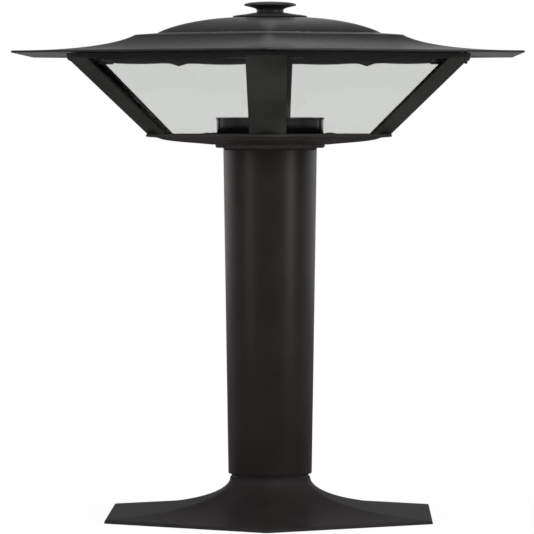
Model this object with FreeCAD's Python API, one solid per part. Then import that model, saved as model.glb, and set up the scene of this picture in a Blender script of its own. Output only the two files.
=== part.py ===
import FreeCAD, Part
import math
import os

from FreeCAD import Vector

# A low outdoor lantern on a tapered post, six-sided throughout, with a corner facing -Y.
# Millimetres, +Z up, origin on the ground under the middle of the base.

# Six-sided layout: corners start at -Y, faces lie halfway between, sets of three screws start at -X
sides = 6
half_side = math.pi / sides
first_corner_deg = -90.0
step_deg = 360.0 / sides
quarter_turn_deg = 90.0
trio_start_deg = 180.0
point_tolerance = 1e-7

# Clearances
slip_clearance = 0.3
screw_clearance = 0.15
stud_clearance = 0.15
rod_clearance = 0.5
glass_gap = 0.25
soft_clearance = 0.2

# Base casting, a six-sided concave flare
base_corner_radius = 145.0
base_rim_height = 2.4
base_rim_draft = 0.6
base_height = 32.0
base_wall = 4.0
base_web = 8.0
base_shoulder = 1.0
base_neck_height = 2.0
flare_toe_reach = 65.0
flare_toe_lift = 3.1
flare_shin_drop = 12.5

# Ground plate under the base, its welded nut and cable grommet
plate_radius = 58.0
plate_thickness = 4.0
plate_ledge = 8.0
anchor_circle_radius = 36.0
anchor_hole_radius = 4.5
anchor_count = 3
grommet_place = 28.0
grommet_bore = 5.0
grommet_neck = 8.8
grommet_flange = 11.5
grommet_flange_height = 1.6

# Post, a round tube that widens upwards, on a soft ring at each end
post_length = 252.3
post_bottom_radius = 32.5
post_top_radius = 36.4
post_wall = 4.0
post_setback = 2.5
post_spigot_height = 18.0
post_spigot_wall = 4.0
post_seal_thickness = 1.0

# Tie rod that clamps plate, base, post and tray together
rod_radius = 6.0
rod_nut_flats = 18.0
rod_nut_height = 10.0
rod_washer_radius = 12.0
rod_washer_thickness = 2.5
thread_margin = 2.5
wire_hole_radius = 4.5

# Tray, the floor of the lantern
tray_overhang = 0.5
tray_depth = 10.7
tray_rim = 2.0
tray_floor_drop = 4.0
tray_floor_margin = 8.0
tray_collar_margin = 6.2
tray_collar_height = 2.6
tray_collar_bevel = 1.2
tray_dish_margin = 3.0
tray_shoulder_inset = 8.5
tray_shoulder_drop = 2.7
tray_dish_slope = 1.8
tray_shoulder_dip = 3.1
tray_curve_reach = 16.0
tray_curve_return = 5.5
sill_inset = 0.8
sill_thickness = 1.8
sill_gap = 0.8
sill_height = 0.4
sill_rise = 0.8
sill_peak_half = 7.0
sill_peak_round = 3.0
pot_depth = 20.0
pot_wall = 4.2
pot_floor = 4.0

# Cage of six leaning corner bars
cage_height = 58.0
cage_foot_radius = 108.0
cage_top_radius = 176.5
bar_thickness = 3.0
bar_wing_foot = 14.3
bar_wing_top = 15.7
bar_flat_foot = 10.3
bar_flat_top = 11.5
bar_rib_half = 4.0
bar_tab_reach = 15.4
bar_tab_overlap = 5.6
bar_tab_half = 3.8
bar_tab_thickness = 1.6
bar_screw_place = 8.4
bar_screw_radius = 2.0
bar_screw_grip = 2.8
bar_screw_head = 1.2

# Glass panes and the clips that hold them against the bars
glass_thickness = 3.0
clip_half_length = 6.5
clip_thickness = 1.2
clip_height = 6.0
clip_drop = 7.0
clip_screw_radius = 1.5
clip_screw_grip = 4.5

# Top ring with its scalloped apron
ring_overhang = 0.4
ring_wall = 2.5
ring_wall_height = 3.6
ring_flange = 2.3
ring_screw_margin = 7.3
apron_gap = 0.8
apron_end_drop = 0.7
apron_swag_drop = 2.2
apron_shoulder_drop = 0.9
apron_tip_drop = 3.4
apron_tip_half = 12.0
apron_tip_round = 4.0
apron_swag_share = 0.3
apron_point_rise = 1.2

# Gasket under the roof
roof_gasket_thickness = 1.0
roof_gasket_gap = 2.5
roof_gasket_width = 4.5

# Bridge across the ring and the stud that takes the finial
bridge_end = 8.0
bridge_half_width = 12.5
bridge_thickness = 2.5
bridge_screw_half = 6.0
bridge_screw_radius = 2.0
bridge_screw_head = 1.5
stud_radius = 4.0
stud_nut_flats = 13.0
stud_nut_height = 6.5
stud_tip_gap = 1.2

# Roof skirt, the lower tier
eave_overhang = 46.2
eave_edge = 1.6
eave_lip = 1.0
skirt_rise = 13.1
skirt_wall = 2.5
skirt_run = 90.4
skirt_toe_reach = 52.5
skirt_toe_lift = 0.6
skirt_brow_reach = 10.5
skirt_brow_drop = 6.0
ledge_width = 16.5
ledge_rise = 1.4

# Roof dome, the upper tier
dome_rise = 13.0
dome_wall = 3.0
dome_flange = 3.0
dome_flange_width = 14.0
dome_side_reach = 8.0
dome_side_rise = 5.1
dome_brow_reach = 26.0
dome_brow_drop = 1.4
dome_screw_edge = 4.5
dome_screw_radius = 2.0
dome_screw_grip = 2.6

# Finial with its rosette and soft washer
finial_washer_thickness = 0.5
finial_washer_inset = 2.0
rosette_radius = 29.0
rosette_edge = 0.6
rosette_height = 3.1
rosette_step = 1.4
rosette_run = 4.0
rosette_rise = 1.3
knob_height = 9.0
knob_foot_radius = 12.6
knob_neck_radius = 10.5
knob_head_radius = 20.2
knob_neck_height = 2.2
knob_flare_rise = 1.4
knob_flare_drop = 1.5
knob_head_low = 5.7
knob_head_high = 6.3
knob_crown_radius = 14.0
knob_crown_rise = 1.5
knob_crown_drop = 0.5
knob_bore_depth = 6.5

# Lamp cup on the tray floor and the light unit inside it
cup_radius = 41.0
cup_wall = 1.8
cup_height = 18.0
cup_floor = 2.0
cup_lip = 0.7
cup_lip_height = 1.6
spreader_floor = 5.0
spreader_rim = 5.0
spreader_rim_wall = 3.9
unit_seal_thickness = 1.0
diffuser_thickness = 3.0
unit_ring_thickness = 1.4
unit_ring_wall = 3.0
unit_screw_gap = 1.5
unit_screw_radius = 1.5
unit_screw_grip = 2.4
unit_screw_count = 3
board_thickness = 1.6
chip_size = 3.0
chip_height = 0.8
chip_ring_count = 2
chip_ring_pitch = 9.0
chip_spacing = 9.4

# Driver on the tie rod, and the terminal block in the tray pot
driver_gap = 4.0
driver_depth = 12.0
driver_half_width = 11.0
driver_length = 90.0
driver_top_gap = 30.0
driver_edge = 1.5
driver_clip_wall = 3.0
driver_clip_height = 8.0
driver_clip_inset = 15.0
terminal_gap = 2.5
terminal_depth = 9.0
terminal_half_length = 12.0
terminal_height = 11.0
terminal_pitch = 8.0
terminal_screw_radius = 1.6
terminal_screw_depth = 2.0

# Hexagon screw heads, as multiples of the thread radius
head_ratio = 1.75
head_height_ratio = 1.0

# Levels, stacked from the ground up
post_foot = base_height + post_seal_thickness
post_top = post_foot + post_length
tray_seat = post_top + post_seal_thickness
tray_top = tray_seat + tray_depth
tray_floor = tray_top - tray_floor_drop
cage_top = tray_top + cage_height
ring_top = cage_top + ring_flange
roof_seat = ring_top + roof_gasket_thickness
eave_top = roof_seat + eave_edge
skirt_top = eave_top + skirt_rise
dome_seat = skirt_top + ledge_rise
dome_top = dome_seat + dome_rise
rosette_seat = dome_top + finial_washer_thickness
knob_seat = rosette_seat + rosette_height

# Values that several pieces share
axis = Vector(0, 0, 1)
origin = Vector(0, 0, 0)
base_apothem = base_corner_radius * math.cos(half_side)
eave_corner_radius = cage_top_radius + eave_overhang
eave_apothem = eave_corner_radius * math.cos(half_side)
skirt_top_apothem = eave_apothem - skirt_run
cage_run = (cage_top_radius - cage_foot_radius) / cage_height
cage_lean = cage_run * math.cos(half_side)
lean_factor = math.hypot(1, cage_lean)
bar_offset = bar_thickness * lean_factor
glass_outer_offset = (bar_thickness + glass_gap) * lean_factor
glass_inner_offset = glass_outer_offset + glass_thickness * lean_factor
bar_rib_line = glass_inner_offset / math.cos(half_side) + soft_clearance
bar_depth = bar_rib_line + clip_half_length * math.tan(half_side)
bar_screw_foot = cage_foot_radius - bar_depth - bar_screw_place
bar_screw_top = cage_top_radius - bar_depth - bar_screw_place
ring_apothem = cage_top_radius * math.cos(half_side) + ring_overhang
ring_opening_apothem = (bar_screw_top - ring_screw_margin) * math.cos(half_side)
gasket_outer_inset = ring_wall + roof_gasket_gap
gasket_inner_inset = gasket_outer_inset + roof_gasket_width
bridge_screw_apothem = (ring_opening_apothem + ring_apothem - gasket_inner_inset) / 2
dome_apothem = skirt_top_apothem - ledge_width
dome_opening_apothem = dome_apothem - dome_flange_width
dome_screw_apothem = dome_opening_apothem + dome_screw_edge
reach = 2 * eave_corner_radius


def direction(degrees):
    """Unit vector in plan at this angle."""
    angle = math.radians(degrees)
    return Vector(math.cos(angle), math.sin(angle), 0)


def turn(shape, degrees):
    """Copy of the shape, turned about the lamp's axis."""
    copy = shape.copy()
    copy.rotate(origin, axis, degrees)
    return copy


def at_corners(shape):
    """Copies at the six corners of a shape made with its corner on +X."""
    return [turn(shape, first_corner_deg + step_deg * i) for i in range(sides)]


def at_faces(shape):
    """Copies at the six faces of a shape made with its face towards +X."""
    return [turn(shape, first_corner_deg + step_deg * (i + 0.5)) for i in range(sides)]


def cut_all(shape, tools):
    """The shape less every tool."""
    for tool in tools:
        shape = shape.cut(tool)
    return shape


def fuse_all(shape, extras):
    """The shape joined with every extra, with faces merged where they run on."""
    return shape.multiFuse(extras).removeSplitter()


def closed_face(runs):
    """Face in the XZ plane round the runs: one point is a corner, four are a curve's poles."""
    edges = []
    first = Vector(runs[0][0][0], 0, runs[0][0][1])
    last = None
    for run in runs:
        poles = [Vector(x, 0, z) for x, z in run]
        if last is not None and not last.isEqual(poles[0], point_tolerance):
            edges.append(Part.makeLine(last, poles[0]))
        if len(poles) > 1:
            curve = Part.BezierCurve()
            curve.setPoles(poles)
            edges.append(curve.toShape())
        last = poles[-1]
    edges.append(Part.makeLine(last, first))
    return Part.Face(Part.Wire(edges))


def turned(runs):
    """Solid of revolution of a half profile that touches the axis or goes round a hole."""
    return closed_face(runs).revolve(origin, axis, 360)


def six_sided(runs):
    """Solid whose plan is a hexagon at every height: three crossed bars of one profile, in common."""
    mirrored = [[(-x, z) for x, z in reversed(run)] for run in reversed(runs)]
    bar = closed_face(runs + mirrored).extrude(Vector(0, 2 * reach, 0))
    bar.translate(Vector(0, -reach, 0))
    solid = bar
    for i in range(1, sides // 2):
        solid = solid.common(turn(bar, step_deg * i))
    return solid.removeSplitter()


def six_sided_slab(apothem, low, high):
    """Plain hexagonal slab."""
    return six_sided([[(apothem, low)], [(apothem, high)]])


def six_sided_ring(outer, inner, low, high):
    """Hexagonal ring of plain section."""
    return six_sided_slab(outer, low, high).cut(six_sided_slab(inner, low, high))


def disc(radius, low, high, x=0.0, y=0.0):
    """Upright cylinder."""
    return Part.makeCylinder(radius, high - low, Vector(x, y, low))


def ring(outer, inner, low, high, x=0.0, y=0.0):
    """Upright tube."""
    return disc(outer, low, high, x, y).cut(disc(inner, low, high, x, y))


def block(low, high):
    """Box between two corners."""
    size = [b - a for a, b in zip(low, high)]
    return Part.makeBox(*size, Vector(*low))


def nut(flats, bore, low, high):
    """Hexagon nut on the lamp's axis."""
    return six_sided_slab(flats / 2, low, high).cut(disc(bore, low, high))


def prism_between(lower, upper):
    """Solid with flat sides between two outlines of as many points each."""
    count = len(lower)
    outlines = [lower, upper]
    for i in range(count):
        j = (i + 1) % count
        outlines.append([lower[i], lower[j], upper[j], upper[i]])
    faces = [Part.Face(Part.makePolygon(points + points[:1])) for points in outlines]
    shell = Part.makeShell(faces)
    shell.sewShape()
    solid = Part.makeSolid(shell)
    if solid.Volume < 0:
        solid.reverse()
    return solid


def screw(radius, grip, head_height=None):
    """Hexagon-head screw along Z: head above the origin plane, shank below it."""
    height = radius * head_height_ratio if head_height is None else head_height
    head = six_sided_slab(radius * head_ratio, 0, height)
    return head.fuse(disc(radius, -grip, 0)).removeSplitter()


def placed(shape, place, towards):
    """Copy of a shape made along +Z, put at a place and pointed along another direction."""
    copy = shape.copy()
    copy.Placement = FreeCAD.Placement(place, FreeCAD.Rotation(axis, towards))
    return copy


os.makedirs("parts", exist_ok=True)


def save(name, shapes):
    """Write one piece, or a group of alike pieces, as its own file."""
    whole = shapes if isinstance(shapes, Part.Shape) else Part.makeCompound(shapes)
    whole.exportStep("parts/" + name + ".step")


# Base and ground plate


neck_radius = post_bottom_radius - post_setback
base_top_apothem = neck_radius + base_shoulder


def flare(offset):
    """Concave side of the base, from rim to neck, moved in and down by an offset."""
    toe = (base_apothem - base_rim_draft, base_rim_height)
    low_pole = (base_apothem - flare_toe_reach, base_rim_height + flare_toe_lift)
    top = base_height - base_neck_height
    high_pole = (base_top_apothem, top - flare_shin_drop)
    return [(x - offset, z - offset) for x, z in (toe, low_pole, high_pole, (base_top_apothem, top))]


def post_bore(height):
    """Inner radius of the post at a height above its foot."""
    return post_bottom_radius - post_wall + (post_top_radius - post_bottom_radius) * height / post_length


spigot_radius = post_bore(0) - slip_clearance
spigot_bore = spigot_radius - post_spigot_wall
wire_hole_place = (rod_washer_radius + spigot_bore) / 2
web_low = base_height - base_web
spigot_top = base_height + post_spigot_height
wire_hole = disc(wire_hole_radius, web_low, tray_floor, wire_hole_place)


def make_base_casting():
    """Flared hexagon, hollow underneath, with a neck and a spigot for the post."""
    outside = six_sided([[(base_apothem, 0)], flare(0)])
    neck = disc(neck_radius, web_low, base_height)
    spigot = disc(spigot_radius, web_low, spigot_top)
    solid = fuse_all(outside, [neck, spigot])
    room = turned([[(0, -base_wall)], flare(base_wall), [(0, base_height - base_neck_height - base_wall)]])
    room = room.common(disc(plate_radius - plate_ledge, plate_thickness, web_low))
    pocket = disc(plate_radius + slip_clearance, 0, plate_thickness)
    bore = disc(spigot_bore, base_height, spigot_top)
    rod_hole = disc(rod_radius + rod_clearance, web_low, base_height)
    return cut_all(solid, [room, pocket, bore, rod_hole, wire_hole])


def make_mounting_plate():
    """Round ground plate with anchor holes, a rod hole and the cable hole."""
    plate = disc(plate_radius, 0, plate_thickness)
    rod_hole = disc(rod_radius + rod_clearance, 0, plate_thickness)
    cable_hole = disc(grommet_neck + soft_clearance, 0, plate_thickness, grommet_place)
    anchors = []
    for i in range(anchor_count):
        spot = direction(trio_start_deg + 360 / anchor_count * i) * anchor_circle_radius
        anchors.append(disc(anchor_hole_radius, 0, plate_thickness, spot.x, spot.y))
    return cut_all(plate, [rod_hole, cable_hole] + anchors)


def make_cable_grommet():
    """Soft bush that lines the cable hole, with a flange on top of the plate."""
    top = plate_thickness + grommet_flange_height
    neck = disc(grommet_neck, 0, plate_thickness, grommet_place)
    flange = disc(grommet_flange, plate_thickness, top, grommet_place)
    bore = disc(grommet_bore, 0, top, grommet_place)
    return neck.fuse(flange).removeSplitter().cut(bore)


plate_nut_top = plate_thickness + rod_nut_height
plate_nut = nut(rod_nut_flats, rod_radius + screw_clearance, plate_thickness, plate_nut_top)

save("base_casting", make_base_casting())
save("mounting_plate", make_mounting_plate())
save("plate_nut", plate_nut)
save("cable_grommet", make_cable_grommet())

# Post, its seals and the tie rod

post_wall_section = [
    [(post_bore(0), post_foot)],
    [(post_bottom_radius, post_foot)],
    [(post_top_radius, post_top)],
    [(post_bore(post_length), post_top)],
]
pot_radius = post_bore(post_length - pot_depth) - slip_clearance
pot_low = tray_seat - pot_depth
pot_bottom = pot_low + pot_floor
washer_top = pot_bottom + rod_washer_thickness
rod_nut_top = washer_top + rod_nut_height
rod_top = rod_nut_top + thread_margin
lower_seal = ring(neck_radius, spigot_radius + soft_clearance, base_height, post_foot)
upper_seal = ring(post_top_radius, pot_radius + soft_clearance, post_top, tray_seat)
washer = ring(rod_washer_radius, rod_radius + screw_clearance, pot_bottom, washer_top)

save("post", turned(post_wall_section))
save("post_seal_lower", lower_seal)
save("post_seal_upper", upper_seal)
save("tie_rod", disc(rod_radius, plate_thickness, rod_top))
save("tie_rod_washer", washer)
save("tie_rod_nut", nut(rod_nut_flats, rod_radius + screw_clearance, washer_top, rod_nut_top))

# Tray with the pot that stands in the post

tray_apothem = cage_foot_radius * math.cos(half_side) + tray_overhang
tray_shoulder_apothem = tray_apothem - tray_shoulder_inset
tray_floor_radius = cage_foot_radius - bar_depth - bar_tab_reach - tray_floor_margin
tray_collar_radius = post_top_radius + tray_collar_margin
tray_dish_apothem = tray_collar_radius + tray_dish_margin
unit_radius = cup_radius - cup_wall - slip_clearance
spreader_bore = unit_radius - spreader_rim_wall
unit_screw_room = unit_screw_radius * head_ratio + unit_screw_gap
unit_screw_circle = spreader_bore - unit_screw_room
unit_screw_bore = unit_screw_radius + screw_clearance
unit_screw_turn = 360 / unit_screw_count
unit_screw_spots = [direction(trio_start_deg + unit_screw_turn * i) for i in range(unit_screw_count)]


def at_unit_screws(radius, low, high):
    """Upright cylinders at the screws that hold the light unit."""
    spots = [spot * unit_screw_circle for spot in unit_screw_spots]
    return [disc(radius, low, high, spot.x, spot.y) for spot in spots]


def tab_block(spot, low, gap):
    """Tab at one end of a bar, or its seat with a gap all round, the screw's place on +X."""
    rib_back = spot + bar_screw_place
    half = bar_tab_half + gap
    near = (rib_back - bar_tab_reach - gap, -half, low)
    far = (rib_back + bar_tab_overlap + gap, half, low + bar_tab_thickness)
    return block(near, far)


def make_sill():
    """Low strip on the tray's edge before one pane, with a small rise in its middle, face towards +X."""
    half = cage_foot_radius * math.sin(half_side) - bar_wing_foot / math.cos(half_side) - sill_gap
    top = tray_top + sill_height
    peak = top + sill_rise
    left = [
        [(-half, tray_top - tray_rim)],
        [(-half, top)],
        [(-sill_peak_half, top), (-sill_peak_round, top), (-sill_peak_round, peak), (0, peak)],
    ]
    right = [[(-x, z) for x, z in reversed(run)] for run in reversed(left)]
    strip = closed_face(left + right).extrude(Vector(0, sill_thickness, 0))
    strip.translate(Vector(0, sill_inset - tray_apothem, 0))
    return turn(strip, quarter_turn_deg)


def make_tray():
    """Hexagonal dish with a collar and a pot below, and a recess, tab seats and sills on top."""
    dish_low = tray_seat + tray_collar_height
    shoulder = (tray_shoulder_apothem, tray_top - tray_shoulder_drop)
    underside = [
        (tray_dish_apothem, dish_low),
        (tray_dish_apothem + tray_curve_reach, dish_low + tray_dish_slope),
        (tray_shoulder_apothem - tray_curve_return, shoulder[1] - tray_shoulder_dip),
        shoulder,
    ]
    dish = six_sided([underside, [(tray_apothem, tray_top - tray_rim)], [(tray_apothem, tray_top)]])
    collar = turned(
        [
            [(0, tray_seat)],
            [(tray_collar_radius - tray_collar_bevel, tray_seat)],
            [(tray_collar_radius, tray_seat + tray_collar_bevel)],
            [(tray_collar_radius, tray_floor)],
            [(0, tray_floor)],
        ]
    )
    pot = disc(pot_radius, pot_low, tray_floor)
    solid = fuse_all(dish, [collar, pot] + at_faces(make_sill()))
    recess = disc(tray_floor_radius, tray_floor, tray_top)
    pot_room = disc(pot_radius - pot_wall, pot_bottom, tray_floor)
    rod_hole = disc(rod_radius + rod_clearance, pot_low, pot_bottom)
    tab_low = tray_top - bar_tab_thickness
    bar_hole = disc(bar_screw_radius + screw_clearance, tab_low - bar_screw_grip, tab_low, bar_screw_foot)
    seat = at_corners(bar_hole.fuse(tab_block(bar_screw_foot, tab_low, slip_clearance)))
    unit_holes = at_unit_screws(unit_screw_bore, tray_floor - unit_screw_grip, tray_floor)
    return cut_all(solid, [recess, pot_room, rod_hole, wire_hole] + seat + unit_holes)


save("tray", make_tray())

# Cage: corner bars, panes, clips and screws


def cage_radius(z):
    """Corner radius of the cage's outer planes at a height."""
    return cage_foot_radius + (z - tray_top) * cage_run


def bar_outline(z, wing, flat):
    """Section of a corner bar at a height: flat nose, two bevelled wings and a deep rib, corner on +X."""
    slope = math.tan(half_side)
    edge_back = bar_offset * math.cos(half_side)
    edge_in = bar_offset * math.sin(half_side)
    inner_line = bar_offset / math.cos(half_side)
    half = [
        (flat, -flat * slope),
        (wing, -wing * slope),
        (wing - edge_in, -wing * slope - edge_back),
        (bar_rib_half, -bar_rib_half * slope - inner_line),
        (bar_rib_half, -bar_depth),
    ]
    outline = half + [(-u, v) for u, v in reversed(half)]
    return [Vector(cage_radius(z) + v, u, z) for u, v in outline]


def clip_outline(z):
    """Section of a glass clip at a height, behind the bar's rib."""
    front = cage_radius(z) - bar_depth
    back = front - clip_step
    spread = (-clip_half_length, clip_half_length)
    return [Vector(front, u, z) for u in spread] + [Vector(back, -u, z) for u in spread]


clip_step = clip_thickness * math.hypot(1, cage_run)
clip_normal = Vector(-1, 0, cage_run)
clip_middle = cage_top - clip_drop
clip_screw_place = Vector(cage_radius(clip_middle) - bar_depth - clip_step, 0, clip_middle)
clip_bore = disc(clip_screw_radius + screw_clearance, -clip_screw_grip, clip_thickness)
clip_drill = placed(clip_bore, clip_screw_place, clip_normal)


def make_strut():
    """Leaning corner bar with a tab at each end, corner on +X."""
    bar = prism_between(
        bar_outline(tray_top, bar_wing_foot, bar_flat_foot),
        bar_outline(cage_top, bar_wing_top, bar_flat_top),
    )
    tabs = []
    holes = [clip_drill]
    for spot, high in ((bar_screw_foot, tray_top), (bar_screw_top, cage_top)):
        low = high - bar_tab_thickness
        tabs.append(tab_block(spot, low, 0))
        holes.append(disc(bar_screw_radius + screw_clearance, low, high, spot))
    return cut_all(fuse_all(bar, tabs), holes)


def make_pane():
    """Trapezoid of glass behind the wings of two bars, cut level above and below, face towards +X."""
    slope = math.tan(half_side)
    edge = (bar_rib_half + slip_clearance + glass_inner_offset * math.sin(half_side)) / math.cos(half_side)
    sections = []
    for z in (tray_top + slip_clearance, cage_top - slip_clearance):
        apothem = cage_radius(z) * math.cos(half_side)
        half = apothem * slope - edge
        front = [Vector(apothem - glass_outer_offset, end, z) for end in (-half, half)]
        back = [Vector(apothem - glass_inner_offset, end, z) for end in (half, -half)]
        sections.append(front + back)
    return prism_between(*sections)


def make_clip():
    """Flat spring plate screwed behind a bar below its top tab, its ends on the two panes."""
    half = clip_height / 2
    clip = prism_between(clip_outline(clip_middle - half), clip_outline(clip_middle + half))
    return clip.cut(clip_drill)


strut = make_strut()
for i, shape in enumerate(at_corners(strut)):
    save("strut_" + str(i + 1), shape)
for i, shape in enumerate(at_faces(make_pane())):
    save("glass_pane_" + str(i + 1), shape)

clip_screw = screw(clip_screw_radius, clip_screw_grip)
save("glass_clips", at_corners(make_clip()))
save("clip_screws", at_corners(placed(clip_screw, clip_screw_place, clip_normal)))

bar_screw = screw(bar_screw_radius, bar_tab_thickness + bar_screw_grip - screw_clearance, bar_screw_head)
foot_screw = placed(bar_screw, Vector(bar_screw_foot, 0, tray_top), axis)
save("strut_foot_screws", at_corners(foot_screw))

# Top ring with the scalloped apron, and its screws


def ring_slab(inset, low, high):
    """Slab with the plan of the ring, a hexagon with flat noses, moved inwards by an inset."""
    nose = bar_flat_top - inset * (1 / math.cos(half_side) - 1) / math.tan(half_side)
    corner = (ring_apothem - inset) / math.cos(half_side)
    along = nose / math.cos(half_side)
    side_turn = quarter_turn_deg + step_deg / 2
    points = []
    for i in range(sides):
        angle = first_corner_deg + step_deg * i
        tip = direction(angle) * corner
        points += [tip + direction(angle + side) * along for side in (-side_turn, side_turn)]
    slab = Part.Face(Part.makePolygon(points + points[:1])).extrude(axis * (high - low))
    slab.translate(axis * low)
    return slab


def gasket_ring(low, high):
    """Nosed ring with the plan of the roof gasket."""
    return ring_slab(gasket_outer_inset, low, high).cut(ring_slab(gasket_inner_inset, low, high))


def make_apron():
    """Plate that hangs from one side of the ring: two swags and a pointed drop, face towards +X."""
    half = cage_top_radius * math.sin(half_side) - bar_wing_top / math.cos(half_side) - apron_gap
    end = (-half, cage_top - apron_end_drop)
    shoulder = (-apron_tip_half, cage_top - apron_shoulder_drop)
    tip = (0, cage_top - apron_tip_drop)
    span = (half - apron_tip_half) * apron_swag_share
    swag_low = cage_top - apron_swag_drop
    left = [
        [(-half, ring_top)],
        [end, (end[0] + span, swag_low), (shoulder[0] - span, swag_low), shoulder],
        [
            shoulder,
            (shoulder[0] + apron_tip_round, shoulder[1]),
            (tip[0] - apron_tip_round, tip[1] + apron_point_rise),
            tip,
        ],
    ]
    right = [[(-x, z) for x, z in reversed(run)] for run in reversed(left)]
    plate = closed_face(left + right).extrude(Vector(0, ring_wall, 0))
    plate.translate(Vector(0, -ring_apothem, 0))
    return turn(plate, quarter_turn_deg)


def make_top_ring():
    """Nosed hexagonal ring of angle section with an apron on every side."""
    wall_top = cage_top + ring_wall_height
    solid = ring_slab(0, cage_top, wall_top)
    solid = solid.cut(ring_slab(ring_wall, ring_top, wall_top))
    solid = solid.cut(six_sided_slab(ring_opening_apothem, cage_top, ring_top))
    solid = fuse_all(solid, at_faces(make_apron()))
    bar_hole = disc(bar_screw_radius + screw_clearance, cage_top, ring_top, bar_screw_top)
    bridge_holes = bridge_drills(bridge_screw_radius + screw_clearance, cage_top, ring_top)
    return cut_all(solid, at_corners(bar_hole) + bridge_holes)


def bridge_drills(radius, low, high):
    """Upright cylinders at the screws that hold the bridge."""
    spots = [(x, y) for x in (-1, 1) for y in (-1, 1)]
    return [disc(radius, low, high, x * bridge_screw_apothem, y * bridge_screw_half) for x, y in spots]


save("top_ring", make_top_ring())
ring_screw = screw(bar_screw_radius, ring_flange + bar_tab_thickness, bar_screw_head)
save("strut_top_screws", at_corners(placed(ring_screw, Vector(bar_screw_top, 0, ring_top), axis)))

# Bridge, stud and roof gasket

bridge_top = ring_top + bridge_thickness
stud_low = ring_top - stud_nut_height - thread_margin
stud_high = knob_seat + knob_bore_depth - stud_tip_gap


def make_roof_bridge():
    """Flat bar across the ring with a hole for the stud."""
    half = (bridge_screw_apothem + bridge_end, bridge_half_width)
    bar = block((-half[0], -half[1], ring_top), (half[0], half[1], bridge_top))
    stud_hole = disc(stud_radius + stud_clearance, ring_top, bridge_top)
    screw_holes = bridge_drills(bridge_screw_radius + screw_clearance, ring_top, bridge_top)
    return cut_all(bar, [stud_hole] + screw_holes)


bridge_screw = screw(bridge_screw_radius, bridge_thickness + ring_flange, bridge_screw_head)
bridge_screws = []
for x in (-bridge_screw_apothem, bridge_screw_apothem):
    for y in (-bridge_screw_half, bridge_screw_half):
        bridge_screws.append(placed(bridge_screw, Vector(x, y, bridge_top), axis))
stud_nuts = [
    nut(stud_nut_flats, stud_radius + stud_clearance, ring_top - stud_nut_height, ring_top),
    nut(stud_nut_flats, stud_radius + stud_clearance, bridge_top, bridge_top + stud_nut_height),
]

save("roof_bridge", make_roof_bridge())
save("bridge_screws", bridge_screws)
save("roof_stud", disc(stud_radius, stud_low, stud_high))
save("stud_nuts", stud_nuts)
save("roof_gasket", gasket_ring(ring_top, roof_seat))

# Roof: skirt, dome and the screws between them


def make_roof_skirt():
    """Concave hexagonal skirt with a flat ledge on top and a seating rib inside."""
    brow = (skirt_top_apothem, skirt_top)
    curve = [
        (eave_apothem, eave_top),
        (eave_apothem - skirt_toe_reach, eave_top + skirt_toe_lift),
        (skirt_top_apothem + skirt_brow_reach, skirt_top - skirt_brow_drop),
        brow,
    ]
    outside = six_sided([[(eave_apothem, roof_seat)], curve, [(dome_apothem, dome_seat)]])
    lip = eave_apothem - eave_lip
    under = [
        (lip, roof_seat),
        (curve[1][0], curve[1][1] - eave_edge),
        (curve[2][0], curve[2][1] - skirt_wall),
        (skirt_top_apothem - skirt_wall, skirt_top - skirt_wall),
    ]
    inside = six_sided([[(lip, cage_top)], under])
    rib = gasket_ring(roof_seat, skirt_top).common(outside)
    shell = fuse_all(outside.cut(inside), [rib])
    opening = six_sided_slab(dome_opening_apothem, roof_seat, dome_seat)
    hole = disc(dome_screw_radius + screw_clearance, roof_seat, dome_seat, dome_screw_apothem)
    return cut_all(shell, [opening] + at_faces(hole))


def make_roof_dome():
    """Low hexagonal dome with a flange inside its foot and a hole for the stud."""
    foot = (dome_apothem, dome_seat)
    side = (dome_apothem - dome_side_reach, dome_seat + dome_side_rise)
    brow = (rosette_radius + dome_brow_reach, dome_top - dome_brow_drop)
    crown = (rosette_radius, dome_top)
    outside = six_sided([[foot, side, brow, crown]])
    under = [
        (foot[0] - dome_wall, foot[1]),
        (side[0] - dome_wall, side[1] - dome_wall),
        (brow[0], brow[1] - dome_wall),
        (crown[0], crown[1] - dome_wall),
    ]
    flange = six_sided_ring(dome_apothem, dome_opening_apothem, dome_seat, dome_seat + dome_flange)
    shell = fuse_all(outside.cut(six_sided([under])), [flange.common(outside)])
    stud_hole = disc(stud_radius + stud_clearance, dome_seat, dome_top)
    hole_top = dome_seat + dome_screw_grip
    hole = disc(dome_screw_radius + screw_clearance, dome_seat, hole_top, dome_screw_apothem)
    return cut_all(shell, [stud_hole] + at_faces(hole))


ledge_under = skirt_top - skirt_wall
dome_screw = screw(dome_screw_radius, dome_seat + dome_screw_grip - ledge_under - screw_clearance)
dome_screws = at_faces(placed(dome_screw, Vector(dome_screw_apothem, 0, ledge_under), Vector(0, 0, -1)))

save("roof_skirt", make_roof_skirt())
save("roof_dome", make_roof_dome())
save("dome_screws", dome_screws)

# Finial: soft washer, rosette and the turned knob


def make_rosette():
    """Turned disc that flares up to the knob, bored for the stud."""
    bore = stud_radius + stud_clearance
    waist = rosette_seat + rosette_edge
    top_radius = knob_foot_radius + rosette_step
    return turned(
        [
            [(bore, rosette_seat)],
            [(rosette_radius, rosette_seat)],
            [
                (rosette_radius, waist),
                (rosette_radius - rosette_run, waist + rosette_rise),
                (top_radius + rosette_run, waist + rosette_rise),
                (top_radius, knob_seat),
            ],
            [(bore, knob_seat)],
        ]
    )


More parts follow.
